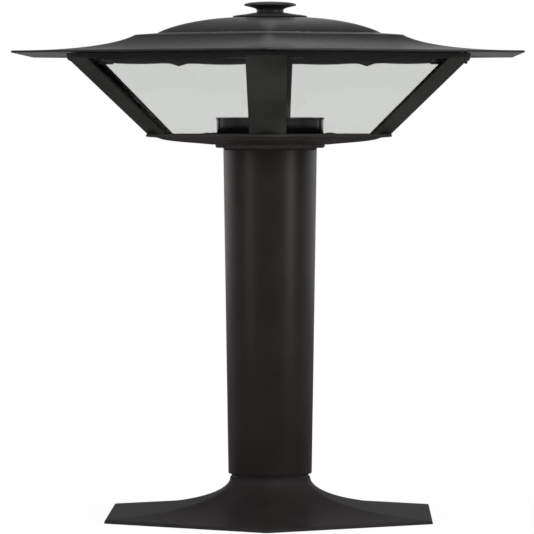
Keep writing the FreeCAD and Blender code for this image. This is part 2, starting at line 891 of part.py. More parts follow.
def make_finial_knob():
    """Trumpet-shaped knob with a rounded rim and a low crown, bored from below."""
    top = knob_seat + knob_height
    foot = (knob_foot_radius, knob_seat)
    waist = (knob_neck_radius, knob_seat)
    neck = (knob_neck_radius, knob_seat + knob_neck_height)
    rim_low = (knob_head_radius, knob_seat + knob_head_low)
    rim_high = (knob_head_radius, knob_seat + knob_head_high)
    bore = stud_radius + stud_clearance
    bore_top = knob_seat + knob_bore_depth
    return turned(
        [
            [(bore, knob_seat)],
            [foot, waist, waist, neck],
            [
                neck,
                (knob_neck_radius, neck[1] + knob_flare_rise),
                (knob_crown_radius, rim_low[1] - knob_flare_drop),
                rim_low,
            ],
            [
                rim_high,
                (knob_head_radius, rim_high[1] + knob_crown_rise),
                (knob_crown_radius, top - knob_crown_drop),
                (0, top),
            ],
            [(0, bore_top)],
            [(bore, bore_top)],
        ]
    )


washer_bore = stud_radius + stud_clearance
save("finial_washer", ring(rosette_radius - finial_washer_inset, washer_bore, dome_top, rosette_seat))
save("finial_rosette", make_rosette())
save("finial_knob", make_finial_knob())

# Lamp cup and the light unit inside it

cup_bore = cup_radius - cup_wall
cup_top = tray_floor + cup_height
unit_low = tray_floor + cup_floor
spreader_top = unit_low + spreader_floor
spreader_rim_top = spreader_top + spreader_rim
diffuser_low = spreader_rim_top + unit_seal_thickness
diffuser_top = diffuser_low + diffuser_thickness
unit_ring_top = diffuser_top + unit_ring_thickness
board_top = spreader_top + board_thickness
board_radius = unit_screw_circle - unit_screw_room


def make_lamp_cup():
    """Spun cup with a small lip, holes for its screws and a lead hole in the floor."""
    lip_low = cup_top - cup_lip_height
    body = disc(cup_radius, tray_floor, cup_top).fuse(disc(cup_radius + cup_lip, lip_low, cup_top))
    room = disc(cup_bore, unit_low, cup_top)
    lead_hole = disc(wire_hole_radius, tray_floor, unit_low, wire_hole_place)
    holes = at_unit_screws(unit_screw_bore, tray_floor, unit_low)
    return cut_all(body.removeSplitter(), [room, lead_hole] + holes)


def make_heat_spreader():
    """Aluminium dish that carries the light board, with a rim for the diffuser."""
    body = disc(unit_radius, unit_low, spreader_rim_top)
    room = disc(spreader_bore, spreader_top, spreader_rim_top)
    lead_hole = disc(wire_hole_radius, unit_low, spreader_top, wire_hole_place)
    holes = at_unit_screws(unit_screw_bore, unit_low, spreader_top)
    return cut_all(body, [room, lead_hole] + holes)


def make_light_board():
    """Round board with the lead hole through it."""
    board = disc(board_radius, spreader_top, board_top)
    return board.cut(disc(wire_hole_radius, spreader_top, board_top, wire_hole_place))


def make_chips():
    """Rings of small light chips on the board, clear of the lead hole."""
    chips = []
    half = chip_size / 2
    chip = block((-half, -half, board_top), (half, half, board_top + chip_height))
    lead = Vector(wire_hole_place, 0, 0)
    for i in range(1, chip_ring_count + 1):
        count = round(2 * math.pi * chip_ring_pitch * i / chip_spacing)
        for j in range(count):
            angle = 360 / count * (j + 0.5)
            spot = direction(angle) * (chip_ring_pitch * i)
            if spot.distanceToPoint(lead) > wire_hole_radius + chip_size:
                copy = turn(chip, angle)
                copy.translate(spot)
                chips.append(copy)
    return chips


unit_screw = screw(unit_screw_radius, spreader_floor + cup_floor + unit_screw_grip - screw_clearance)
unit_screws = []
for spot in unit_screw_spots:
    unit_screws.append(placed(unit_screw, spot * unit_screw_circle + axis * spreader_top, axis))

save("lamp_cup", make_lamp_cup())
save("heat_spreader", make_heat_spreader())
save("light_board", make_light_board())
save("light_chips", make_chips())
save("unit_screws", unit_screws)
save("diffuser_seal", ring(unit_radius, spreader_bore, spreader_rim_top, diffuser_low))
save("diffuser", disc(unit_radius, diffuser_low, diffuser_top))
save("diffuser_ring", ring(unit_radius, unit_radius - unit_ring_wall, diffuser_top, unit_ring_top))

# Driver on the tie rod and terminal block in the pot

terminal_place = rod_washer_radius + terminal_gap
driver_near = rod_radius + driver_gap
driver_far = driver_near + driver_depth
driver_high = pot_low - driver_top_gap
driver_low = driver_high - driver_length


def make_driver():
    """Slim potted driver with rounded upright edges."""
    low = (driver_near, -driver_half_width, driver_low)
    high = (driver_far, driver_half_width, driver_high)
    body = block(low, high)
    upright = [edge for edge in body.Edges if edge.BoundBox.ZLength > driver_length / 2]
    return body.makeFillet(driver_edge, upright)


def make_driver_clip(low):
    """Collar on the rod with a pad that carries the driver."""
    high = low + driver_clip_height
    outer = rod_radius + driver_clip_wall
    pad = block((0, -outer / 2, low), (driver_near, outer / 2, high))
    collar = fuse_all(disc(outer, low, high), [pad])
    return collar.cut(disc(rod_radius + screw_clearance, low, high))


def make_terminal_block():
    """Terminal block with one screw well per pole."""
    far = -terminal_place - terminal_depth
    high = pot_bottom + terminal_height
    body = block((far, -terminal_half_length, pot_bottom), (-terminal_place, terminal_half_length, high))
    poles = round(2 * terminal_half_length / terminal_pitch)
    middle = -terminal_place - terminal_depth / 2
    wells = []
    for i in range(poles):
        y = terminal_pitch * (i + 0.5 - poles / 2)
        wells.append(disc(terminal_screw_radius, high - terminal_screw_depth, high, middle, y))
    return cut_all(body, wells)


clip_places = (driver_low + driver_clip_inset, driver_high - driver_clip_inset - driver_clip_height)

save("light_driver", make_driver())
save("driver_clips", [make_driver_clip(low) for low in clip_places])
save("terminal_block", make_terminal_block())
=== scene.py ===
# %% [markdown]
# A low garden lantern: six glass panes in a black cage, under a two-tier roof, on a post.
# The imported model is loaded first. It is the fixed frame that every piece below is measured from,
# and its box is kept.

# %% Load the frame
import math

import bmesh
import bpy
import numpy as np
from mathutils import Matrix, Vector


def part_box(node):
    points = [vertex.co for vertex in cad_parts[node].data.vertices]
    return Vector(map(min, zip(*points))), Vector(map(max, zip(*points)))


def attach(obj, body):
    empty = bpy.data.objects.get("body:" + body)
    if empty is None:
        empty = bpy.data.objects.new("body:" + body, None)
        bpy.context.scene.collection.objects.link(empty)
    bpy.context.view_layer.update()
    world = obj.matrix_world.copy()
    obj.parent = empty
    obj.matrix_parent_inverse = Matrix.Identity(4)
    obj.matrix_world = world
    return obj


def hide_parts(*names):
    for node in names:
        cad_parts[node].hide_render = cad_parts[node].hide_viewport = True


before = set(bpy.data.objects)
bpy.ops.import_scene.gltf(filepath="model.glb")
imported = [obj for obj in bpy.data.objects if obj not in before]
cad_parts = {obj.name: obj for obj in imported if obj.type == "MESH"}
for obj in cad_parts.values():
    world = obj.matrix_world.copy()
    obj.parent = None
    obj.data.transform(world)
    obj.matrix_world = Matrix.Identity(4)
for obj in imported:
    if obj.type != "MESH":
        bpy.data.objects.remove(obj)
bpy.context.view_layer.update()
mm = 0.001

# %% [markdown]
# Almost every part of this lamp is a profile carried round its axis, so the profile comes first.
# It could be typed as a long list of points. A few corners and four-pole curves say the same,
# and they stay editable. Real castings have no knife edges, so each corner is eased by a small parabola.

# %% Profiles as arrays


def bezier(poles, count):
    """Cubic curve: each pole times its Bernstein weight, added up, at count even steps of t from 0 to 1."""
    t = np.linspace(0, 1, count)[:, None]
    weights = np.hstack([(1 - t) ** 3, 3 * t * (1 - t) ** 2, 3 * t**2 * (1 - t), t**3])
    return weights @ np.asarray(poles, float)


def ease_corners(points, reach, steps=4):
    """Closed outline with corner P, between A and B, as (1-t)^2 A + 2t(1-t) P + t^2 B.

    A and B lie reach along the two sides, or at 0.45 of a shorter side. A point of reach 0 stays one point.
    """
    points = np.asarray(points, float)
    reach = np.broadcast_to(np.asarray(reach, float), len(points))
    ends = []
    for shift in (1, -1):
        side = np.roll(points, shift, axis=0) - points
        length = np.maximum(np.linalg.norm(side, axis=1), 1e-12)
        ends.append(points + side * (np.minimum(reach, 0.45 * length) / length)[:, None])
    t = np.linspace(0, 1, steps)[None, :, None]
    arcs = (1 - t) ** 2 * ends[0][:, None] + 2 * t * (1 - t) * points[:, None] + t**2 * ends[1][:, None]
    keep = np.ones(arcs.shape[:2], bool)
    keep[reach == 0, 1:] = False
    return arcs[keep]


def outline(runs, reach, curve_points=22):
    """Closed outline in metres, from runs in millimetres: one point is a corner, four are curve poles."""
    points = []
    easing = []
    for run in runs:
        dots = np.asarray(run, float) if len(run) == 1 else bezier(run, curve_points)
        points.append(dots)
        ease = np.zeros(len(dots))
        ease[[0, -1]] = reach
        easing.append(ease)
    return ease_corners(np.vstack(points), np.concatenate(easing)) * mm


print("an eased square has", len(outline([[(0, 0)], [(1, 0)], [(1, 1)], [(0, 1)]], reach=0.2)), "points")

# %% [markdown]
# The lamp's plan is a hexagon everywhere, and its castings melt into round collars where the post comes in.
# Six flat pieces joined by hand would leave seams on the ridges. One formula does better:
# a hexagon whose corners are arcs, and when the arc's radius reaches the apothem the hexagon is a circle.

# %% Carry a profile round the axis
corner_angles = np.radians(-90 + 60 * np.arange(6))
face_angles = corner_angles + math.radians(30)
cos_30, tan_30 = math.cos(math.radians(30)), math.tan(math.radians(30))


def six_sided(profile, arc_points=9, side_points=2):
    """Grid of a closed profile of (apothem a, corner radius r, height z) rows, carried round six corners.

    A corner's arc is centred (a - r) / cos 30 out along the corner and spans 60 degrees.
    Straight sides join the arcs.
    """
    apothem, radius, height = (column[:, None, None] for column in profile.T)
    angle = corner_angles[None, :, None] + np.radians(np.linspace(-30, 30, arc_points))[None, None, :]
    out = (apothem - radius) / cos_30
    x = out * np.cos(corner_angles)[None, :, None] + radius * np.cos(angle)
    y = out * np.sin(corner_angles)[None, :, None] + radius * np.sin(angle)
    arcs = np.stack([x, y], axis=-1)
    share = (np.arange(1, side_points + 1) / (side_points + 1))[None, None, :, None]
    start = arcs[:, :, -1:]
    end = np.roll(arcs[:, :, :1], -1, axis=1)
    plan = np.concatenate([arcs, start + (end - start) * share], axis=2).reshape(len(profile), -1, 2)
    rise = np.broadcast_to(height[:, 0], plan.shape[:2])
    return np.dstack([plan, rise])


def round_run(*points):
    """The same points, or poles, with the corner radius that makes a hexagon a circle."""
    return [(radius, radius, z) for radius, z in points]


def turned(profile, count=96):
    """Closed profile of (radius r, height z) rows, turned: x = r cos u, y = r sin u, u round the circle."""
    angle = np.linspace(0, 2 * np.pi, count, endpoint=False)[None, :]
    radius, height = (column[:, None] for column in profile.T)
    rise = np.broadcast_to(height, (len(profile), count))
    return np.dstack([radius * np.cos(angle), radius * np.sin(angle), rise])


def turn_about_axis(grid, angle):
    """The grid turned about the lamp's axis: x' = x cos - y sin, y' = x sin + y cos."""
    x, y, z = np.moveaxis(grid, -1, 0)
    cos, sin = np.cos(angle), np.sin(angle)
    return np.stack([x * cos - y * sin, x * sin + y * cos, z], axis=-1)


print("corners at", np.degrees(corner_angles).round().tolist())
print("faces at", np.degrees(face_angles).round().tolist())

# %% [markdown]
# A grid becomes a mesh when every four neighbours make a face. Where a hexagon has turned into a circle,
# points fall on each other, so doubles are merged, and then the faces are all turned outwards.
# Each piece names the body that carries it, and the CAD node that it stands for.

# %% Grids to pieces
merge_gap, sliver = 0.002 * mm, 0.001 * mm
sharp_angle = math.radians(38)


def skin(grid, capped=False):
    """(points, faces) of a grid: a quad for every four neighbours.

    The last column joins the first, and so does the last row, unless the two end rows are capped instead.
    """
    rows, columns = grid.shape[:2]
    index = np.arange(rows * columns).reshape(rows, columns)
    caps = [index[0].tolist(), index[-1].tolist()] if capped else []
    if not capped:
        index = np.vstack([index, index[:1]])
    index = np.hstack([index, index[:, :1]])
    quads = np.stack([index[:-1, :-1], index[:-1, 1:], index[1:, 1:], index[1:, :-1]], axis=-1)
    return grid.reshape(-1, 3), quads.reshape(-1, 4).tolist() + caps


def piece(name, skins, finish, stands_for, body="lamp"):
    """One object of all the skins, on its body, standing for its CAD node, smooth up to a sharp edge."""
    starts = np.cumsum([0] + [len(points) for points, _ in skins])
    faces = [[i + start for i in face] for start, part in zip(starts, skins) for face in part[1]]
    mesh = bpy.data.meshes.new(name)
    mesh.from_pydata(np.vstack([points for points, _ in skins]), [], faces)
    work = bmesh.new()
    work.from_mesh(mesh)
    bmesh.ops.remove_doubles(work, verts=work.verts, dist=merge_gap)
    bmesh.ops.dissolve_degenerate(work, edges=work.edges, dist=sliver)
    bmesh.ops.recalc_face_normals(work, faces=work.faces)
    open_edges = sum(not edge.is_manifold for edge in work.edges)
    work.to_mesh(mesh)
    work.free()
    mesh.shade_smooth()
    mesh.set_sharp_from_angle(angle=sharp_angle)
    mesh.materials.append(finish)
    thing = bpy.data.objects.new(name, mesh)
    bpy.context.scene.collection.objects.link(thing)
    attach(thing, body)
    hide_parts(stands_for)
    print(name, "has", len(mesh.polygons), "faces and", open_edges, "open edges, on", body)
    return thing


# %% [markdown]
# Finishes are node graphs, and a graph is easier to read as a sum. This class wraps one output of a node,
# so that 0.4 + 0.1 * grain adds the Math nodes by itself. Every other node comes from its one add method.

# %% Shader sums


class Wire:
    """One output of a shader node, or the bare tree at the start of a graph."""

    def __init__(self, tree, socket=None):
        self.tree = tree
        self.socket = socket

    def add(self, kind, settings=None, inputs=None, output=0):
        """Adds any node: its settings first, then a value or a wire for each input that is named."""
        node = self.tree.nodes.new(kind)
        for name, value in (settings or {}).items():
            setattr(node, name, value)
        for name, value in (inputs or {}).items():
            if isinstance(value, Wire):
                self.tree.links.new(value.socket, node.inputs[name])
            else:
                node.inputs[name].default_value = value
        return Wire(self.tree, node.outputs[output] if len(node.outputs) else None)

    def math(self, operation, first, second):
        """Math node on two wires or numbers."""
        return self.add("ShaderNodeMath", {"operation": operation}, {0: first, 1: second})

    def __add__(self, other):
        return self.math("ADD", self, other)

    def __sub__(self, other):
        return self.math("SUBTRACT", self, other)

    def __rsub__(self, other):
        return self.math("SUBTRACT", other, self)

    def __mul__(self, other):
        return self.math("MULTIPLY", self, other)

    __radd__ = __add__
    __rmul__ = __mul__

    def __abs__(self):
        return self.math("ABSOLUTE", self, 0)

    def mix(self, low, high):
        """Colour between two colours, by this wire's value."""
        return self.add("ShaderNodeMix", {"data_type": "RGBA"}, {0: self, 6: low, 7: high}, output=2)

    def step(self, low, high):
        """This value brought to 0 at low and 1 at high, smoothly."""
        inputs = {"Value": self, "From Min": low, "From Max": high}
        return self.add("ShaderNodeMapRange", {"interpolation_type": "SMOOTHSTEP"}, inputs)


def new_finish(name):
    """An empty material and a wire with the object coordinates, in metres."""
    material = bpy.data.materials.new(name)
    material.use_nodes = True
    material.node_tree.nodes.clear()
    return material, Wire(material.node_tree).add("ShaderNodeTexCoord", output="Object")


def noise(place, size, detail=2.0):
    """Noise whose lumps are about size metres across."""
    inputs = {"Vector": place, "Scale": 1 / size, "Detail": detail}
    return place.add("ShaderNodeTexNoise", inputs=inputs)


def close_finish(material, shader):
    """Puts the shader on the material's surface."""
    shader.add("ShaderNodeOutputMaterial", inputs={"Surface": shader})
    print("finish", material.name, "has", len(material.node_tree.nodes), "nodes")
    return material


# %% [markdown]
# The metalwork is powder coated in a warm near-black. Baked powder flows into a fine orange peel,
# a lumpy skin about a millimetre across, and its gloss wanders a little from place to place.
# A picture of paint would stretch and repeat, while noise on the object's own coordinates does neither.
# The corner bars carry a coarser, drier coat, the lamp cup is stoved in gloss enamel,
# and the roof is lined in white. The tray and the finial take lighter copies of the coat: painted light
# that lifts their shaded undersides and necks.

# %% Coats
cloud_size, fleck_size = 40 * mm, 0.6 * mm


def coat(name, dark, light, roughness, grain, relief, specular, speckle=0.0):
    """Coat whose colour drifts in wide clouds, with a peel of given grain and relief, and pale specks."""
    material, place = new_finish(name)
    cloud = noise(place, cloud_size, detail=3.0)
    peel = noise(place, grain)
    fleck = noise(place, fleck_size, detail=0.0).step(0.68, 0.8)
    colour = (cloud.step(0.3, 0.7) + speckle * fleck).mix(dark, light)
    gloss = roughness + 0.10 * (peel - 0.5) + 0.08 * (cloud - 0.5)
    bump = place.add("ShaderNodeBump", inputs={"Strength": 0.6, "Distance": relief, "Height": peel})
    inputs = {"Base Color": colour, "Roughness": gloss, "Specular IOR Level": specular, "Normal": bump}
    return close_finish(material, place.add("ShaderNodeBsdfPrincipled", inputs=inputs))


roof_coat = coat(
    "roof_coat", (0.014, 0.0132, 0.0135, 1), (0.020, 0.0188, 0.0192, 1),
    roughness=0.28, grain=1.2 * mm, relief=0.010 * mm, specular=0.22,
)
# Lighter copy of the roof coat: painted light that lifts the shaded neck under the knob's brim.
finial_coat_painted_light = coat(
    "finial_coat_painted_light", (0.023, 0.0225, 0.0225, 1), (0.031, 0.0305, 0.0305, 1),
    roughness=0.34, grain=1.2 * mm, relief=0.010 * mm, specular=0.26,
)
casting_coat = coat(
    "casting_coat", (0.0165, 0.0137, 0.0137, 1), (0.022, 0.0184, 0.0184, 1),
    roughness=0.52, grain=1.2 * mm, relief=0.020 * mm, specular=0.10,
)
# Lighter copy of the casting coat: painted light standing in for floor bounce on the tray's shaded
# underside.
tray_coat_painted_light = coat(
    "tray_coat_painted_light", (0.026, 0.0218, 0.0210, 1), (0.034, 0.0284, 0.0272, 1),
    roughness=0.50, grain=1.2 * mm, relief=0.020 * mm, specular=0.12,
)
post_coat = coat(
    "post_coat", (0.013, 0.0115, 0.0098, 1), (0.017, 0.0152, 0.0130, 1),
    roughness=0.34, grain=1.4 * mm, relief=0.016 * mm, specular=0.25,
)
bar_coat = coat(
    "bar_coat", (0.016, 0.0160, 0.0140, 1), (0.028, 0.0275, 0.0240, 1),
    roughness=0.58, grain=0.7 * mm, relief=0.06 * mm, specular=0.25, speckle=1.0,
)
cup_enamel = coat(
    "cup_enamel", (0.006, 0.0060, 0.0058, 1), (0.010, 0.0100, 0.0095, 1),
    roughness=0.11, grain=3.0 * mm, relief=0.003 * mm, specular=0.5,
)
white_lining = coat(
    "white_lining", (0.66, 0.66, 0.64, 1), (0.72, 0.72, 0.70, 1),
    roughness=0.45, grain=1.2 * mm, relief=0.015 * mm, specular=0.3,
)

# %% [markdown]
# Clear float glass, a touch grey. It could be faked with plain alpha, but from the side a lantern lives
# by its refractions, so it is real transmission. Smears left by a cloth change its roughness by a hair.
# A refracting pane would keep the studio's light out of the lantern, so rays that only carry light
# go straight through it.

# %% Clear glass
smear_size, wave_size = 25 * mm, 60 * mm


def clear_glass():
    """Transmission with a faint tint, cloudy smears in the roughness and a very long, very low waviness."""
    material, place = new_finish("clear_glass")
    smear = noise(place, smear_size, detail=4.0).step(0.45, 0.75)
    wave = noise(place, wave_size, detail=0.0)
    bump = place.add("ShaderNodeBump", inputs={"Strength": 0.15, "Distance": 0.05 * mm, "Height": wave})
    inputs = {
        "Base Color": smear.mix((0.860, 0.869, 0.858, 1), (0.857, 0.866, 0.855, 1)),
        "Roughness": 0.004 + 0.006 * smear,
        "Normal": bump,
        "Transmission Weight": 1.0,
        "IOR": 1.45,
    }
    glass = place.add("ShaderNodeBsdfPrincipled", inputs=inputs)
    clear = place.add("ShaderNodeBsdfTransparent", inputs={"Color": (0.86, 0.87, 0.86, 1)})
    shadow = place.add("ShaderNodeLightPath", output="Is Shadow Ray")
    scattered = place.add("ShaderNodeLightPath", output="Is Diffuse Ray")
    straight = shadow.math("MAXIMUM", shadow, scattered)
    return close_finish(material, place.add("ShaderNodeMixShader", inputs={0: straight, 1: glass, 2: clear}))


pane_glass = clear_glass()

# %% [markdown]
# Screws, nuts and the ground plate are zinc-plated steel. Plating looks mottled: patches of slightly
# different grey and gloss. The screws are too small for modelled scratches, so fine noise stands
# for the drawn surface. Cast aluminium is the same graph with larger patches.

# %% Plated steel and cast aluminium
drawn_out = (1.0, 1.0, 0.12)


def metal(name, dark, light, roughness, patch, streak):
    """Metal in patches of two greys, with fine streaks in its gloss and a shallow relief along them."""
    material, place = new_finish(name)
    patches = noise(place, patch, detail=3.0)
    stretch = place.add("ShaderNodeMapping", inputs={"Vector": place, "Scale": drawn_out})
    streaks = noise(stretch, streak)
    bump = place.add("ShaderNodeBump", inputs={"Strength": 0.3, "Distance": 0.01 * mm, "Height": streaks})
    inputs = {
        "Base Color": patches.step(0.35, 0.65).mix(dark, light),
        "Roughness": roughness + 0.15 * (streaks - 0.5) + 0.1 * (patches - 0.5),
        "Metallic": 1.0,
        "Normal": bump,
    }
    return close_finish(material, place.add("ShaderNodeBsdfPrincipled", inputs=inputs))


plated_steel = metal(
    "plated_steel", (0.42, 0.43, 0.44, 1), (0.58, 0.58, 0.57, 1),
    roughness=0.34, patch=3 * mm, streak=0.5 * mm,
)
cast_aluminium = metal(
    "cast_aluminium", (0.60, 0.61, 0.62, 1), (0.72, 0.72, 0.72, 1),
    roughness=0.42, patch=8 * mm, streak=0.8 * mm,
)

# %% [markdown]
# The rest is moulded: rubber seals, the opal diffuser, the light board with its yellow chips, and pale
# plastic. One function covers them, because they differ only in colour, gloss, grain and how much light
# passes under the skin.

# %% Moulded finishes
mottle_size, light_depth = 12 * mm, 2 * mm


def moulded(name, dark, light, roughness, grain, relief, inside=0.0):
    """Moulded skin of two near colours with a fine grain, and light under it where inside is above 0."""
    material, place = new_finish(name)
    mottle = noise(place, mottle_size, detail=3.0)
    pores = noise(place, grain)
    bump = place.add("ShaderNodeBump", inputs={"Strength": 0.4, "Distance": relief, "Height": pores})
    inputs = {
        "Base Color": mottle.step(0.3, 0.7).mix(dark, light),
        "Roughness": roughness + 0.12 * (pores - 0.5),
        "Subsurface Weight": inside,
        "Subsurface Scale": light_depth,
        "Normal": bump,
    }
    return close_finish(material, place.add("ShaderNodeBsdfPrincipled", inputs=inputs))


seal_rubber = moulded(
    "seal_rubber", (0.016, 0.016, 0.016, 1), (0.026, 0.026, 0.025, 1),
    roughness=0.75, grain=0.5 * mm, relief=0.03 * mm,
)
opal_cover = moulded(
    "opal_cover", (0.80, 0.80, 0.78, 1), (0.86, 0.86, 0.84, 1),
    roughness=0.35, grain=0.8 * mm, relief=0.01 * mm, inside=0.3,
)
board_white = moulded(
    "board_white", (0.74, 0.75, 0.74, 1), (0.82, 0.82, 0.81, 1),
    roughness=0.45, grain=0.4 * mm, relief=0.01 * mm,
)
chip_phosphor = moulded(
    "chip_phosphor", (0.75, 0.55, 0.10, 1), (0.85, 0.66, 0.18, 1),
    roughness=0.4, grain=0.3 * mm, relief=0.01 * mm,
)
pale_plastic = moulded(
    "pale_plastic", (0.66, 0.66, 0.64, 1), (0.72, 0.72, 0.70, 1),
    roughness=0.5, grain=0.6 * mm, relief=0.02 * mm,
)

# %% [markdown]
# The panes, seals and inner pieces are plain shapes, so their CAD nodes stay as they are.
# Each gets its finish through the slot that the record names for it, which a table of slots says shortest.

# %% Finishes for the CAD nodes
finish_of_slot = {
    "black_coat": casting_coat,
    "gloss_black": cup_enamel,
    "clear_glass": pane_glass,
    "steel": plated_steel,
    "rubber": seal_rubber,
    "aluminium": cast_aluminium,
    "white_board": board_white,
    "phosphor": chip_phosphor,
    "opal": opal_cover,
    "pale_plastic": pale_plastic,
}
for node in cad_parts.values():
    for slot in node.material_slots:
        slot.material = finish_of_slot[slot.material.name.split(".")[0]]
print("finished", len(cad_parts), "CAD nodes in", len(finish_of_slot), "finishes")

# %% [markdown]
# The base is a cast bell: a six-sided flare that grows out of a round neck. A loft between a hexagon
# and a circle would twist. Here the corner radius is one more column of the profile, so the hips soften
# on their way up. Below it is hollow, with a pocket for the ground plate.

# %% Base
base_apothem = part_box("base_casting")[1][0] / mm
spigot_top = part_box("base_casting")[1][2] / mm
neck_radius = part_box("post_seal_lower")[1][0] / mm
neck_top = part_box("post_seal_lower")[0][2] / mm
plate_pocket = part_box("mounting_plate")[1][0] / mm + 0.3
plate_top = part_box("mounting_plate")[1][2] / mm
spigot_radius = neck_radius - 1.8
spigot_bore = spigot_radius - 4.0
rod_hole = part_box("tie_rod")[1][0] / mm + 0.5
web_low = neck_top - 8.0
flare_top = neck_top - 2.0
flare_radius = neck_radius + 1.0
rim_hip, flare_hip = 2.5, 13.0
hollow_radius, room_radius, room_top = 27.0, 50.0, 9.0
base_profile = outline(
    [
        [(base_apothem, rim_hip, 0)],
        [
            (base_apothem - 0.6, rim_hip, 2.4),
            (base_apothem - 65, flare_hip / 2, 5.5),
            (flare_radius, flare_hip, flare_top - 12.5),
            (flare_radius, flare_hip, flare_top),
        ],
        round_run((neck_radius, flare_top)),
        round_run((neck_radius, neck_top)),
        round_run((spigot_radius, neck_top)),
        round_run((spigot_radius, spigot_top)),
        round_run((spigot_bore, spigot_top)),
        round_run((spigot_bore, neck_top)),
        round_run((rod_hole, neck_top)),
        round_run((rod_hole, web_low)),
        round_run((hollow_radius, web_low), (hollow_radius, 16), (36, 11), (room_radius, room_top)),
        round_run((room_radius, plate_top)),
        round_run((plate_pocket, plate_top)),
        round_run((plate_pocket, 0)),
    ],
    reach=0.7,
)
piece("base_bell", [skin(six_sided(base_profile))], casting_coat, stands_for="base_casting")

# %% [markdown]
# The post is a tube that widens upwards. A cylinder with a scaled end would do, but turned from its wall's
# section it has its bore and its eased ends as well.

# %% Post
post_low, post_high = (np.array(corner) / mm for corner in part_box("post"))
post_wall = 4.0
post_foot_radius = neck_radius + 2.5
post_profile = outline(
    [
        [(post_foot_radius - post_wall, post_low[2])],
        [(post_foot_radius, post_low[2])],
        [(post_high[0], post_high[2])],
        [(post_high[0] - post_wall, post_high[2])],
    ],
    reach=0.8,
)
piece("post_tube", [skin(turned(post_profile))], post_coat, stands_for="post")

# %% [markdown]
# The tray is the lantern's floor: a dish that starts round at the post and ends as a sharp hexagon
# at its rim. Like the base it is one profile, whose corner radius shrinks on the way out.

# %% Tray dish
tray_low, tray_high = (np.array(corner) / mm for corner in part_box("tray"))
cage_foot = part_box("glass_pane_1")[0][2] / mm - 0.3
cage_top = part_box("strut_1")[1][2] / mm
tray_apothem = tray_high[0]
tray_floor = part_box("lamp_cup")[0][2] / mm
tray_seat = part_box("post_seal_upper")[1][2] / mm
pot_radius = 31.8
pot_bore = pot_radius - 4.2
pot_floor = tray_low[2] + 4
collar_radius = post_high[0] + 6.2
collar_bevel = 1.2
collar_top = tray_seat + 2.6
rim_low = cage_foot - 2
recess_radius = 70.3
tray_profile = outline(
    [
        round_run((rod_hole, tray_low[2])),
        round_run((pot_radius, tray_low[2])),
        round_run((pot_radius, tray_seat)),
        round_run((collar_radius - collar_bevel, tray_seat)),
        round_run((collar_radius, tray_seat + collar_bevel)),
        round_run((collar_radius, collar_top)),
        [
            (collar_radius + 3, 36, collar_top),
            (collar_radius + 19, 20, tray_seat + 4.4),
            (tray_apothem - 14, 5, cage_foot - 5.8),
            (tray_apothem - 8.5, rim_hip, cage_foot - 2.7),
        ],
        [(tray_apothem, rim_hip, rim_low)],
        [(tray_apothem, rim_hip, cage_foot)],
        round_run((recess_radius, cage_foot)),
        round_run((recess_radius, tray_floor)),
        round_run((pot_bore, tray_floor)),
        round_run((pot_bore, pot_floor)),
        round_run((rod_hole, pot_floor)),
    ],
    reach=0.45,
)
print("tray profile has", len(tray_profile), "points")

# %% [markdown]
# The rim carries six low sills, each with a small rise in the middle that answers the drop of the apron
# above. A sill is a small section drawn along one face. Its top edge follows a curve, so each row of the
# section says how much of that curve it takes.

# %% Tray with its sills
sill_half, sill_height, sill_rise, sill_peak_half, sill_pull = 36.6, 0.4, 0.8, 7.0, 3.0
sill_out, sill_in, sill_sunk = -0.8, -2.6, -1.0
peak = bezier([(-sill_peak_half, 0), (-sill_pull, 0), (-sill_pull, sill_rise), (0, sill_rise)], 9)
peak = np.vstack([(-sill_half, 0), peak, peak[-2::-1] * (-1, 1), (sill_half, 0)])
sill_corners = [
    (sill_out, sill_sunk, 0),
    (sill_out, sill_height, 1),
    (sill_in, sill_height, 1),
    (sill_in, sill_sunk, 0),
]
sill_section = ease_corners(sill_corners, 0.15)


def face_strip(section, along, drop, apothem, level, angle):
    """Grid of a strip on one face: rows (inset, height, weight), columns (place along it, extra height).

    A point lies apothem + inset out, and level + height + weight times the column's extra height up.
    """
    out = np.broadcast_to(apothem + section[:, :1], (len(section), len(along)))
    side = np.broadcast_to(along[None, :], out.shape)
    rise = level + section[:, 1:2] + section[:, 2:3] * drop[None, :]
    return turn_about_axis(np.dstack([out, side, rise]) * mm, angle)


tray_skins = [skin(six_sided(tray_profile))]
for angle in face_angles:
    sill = face_strip(sill_section, peak[:, 0], peak[:, 1], tray_apothem, cage_foot, angle)
    tray_skins.append(skin(sill.transpose(1, 0, 2), capped=True))
# The tray's coat is lighter than the base's: painted light on its shaded underside.
piece("tray_dish", tray_skins, tray_coat_painted_light, stands_for="tray")

# %% [markdown]
# The six corner bars lean outwards. Each has a flat nose, a bevelled wing over the edge of either pane,
# and a rib behind that takes the clip's screw. Two sections, at foot and top, are joined by straight lines,
# which is how a sloping casting is drawn. An extrusion would keep one width, and these bars widen upwards.

# %% Bar sections
cage_foot_radius, cage_top_radius = 108.0, 176.5
foot_wing, foot_flat, top_wing, top_flat = 14.3, 10.3, 15.7, 11.5
bar_depth, bar_rib_half, wing_thick = 14.28, 4.0, 3.0
cage_run = (cage_top_radius - cage_foot_radius) / (cage_top - cage_foot)
bar_offset = wing_thick * math.hypot(1, cage_run * cos_30)


def bar_section(radius, wing, flat):
    """Eased outline of a bar, corner on +X: rows of (place out from the axis, place across)."""
    edge_back, edge_in = bar_offset * cos_30, bar_offset * 0.5
    half = np.array(
        [
            (-flat * tan_30, flat),
            (-wing * tan_30, wing),
            (-wing * tan_30 - edge_back, wing - edge_in),
            (-bar_rib_half * tan_30 - bar_offset / cos_30, bar_rib_half),
            (-bar_depth, bar_rib_half),
        ]
    )
    whole = np.vstack([half, half[::-1] * (1, -1)])
    return ease_corners(whole + (radius, 0), 0.8)


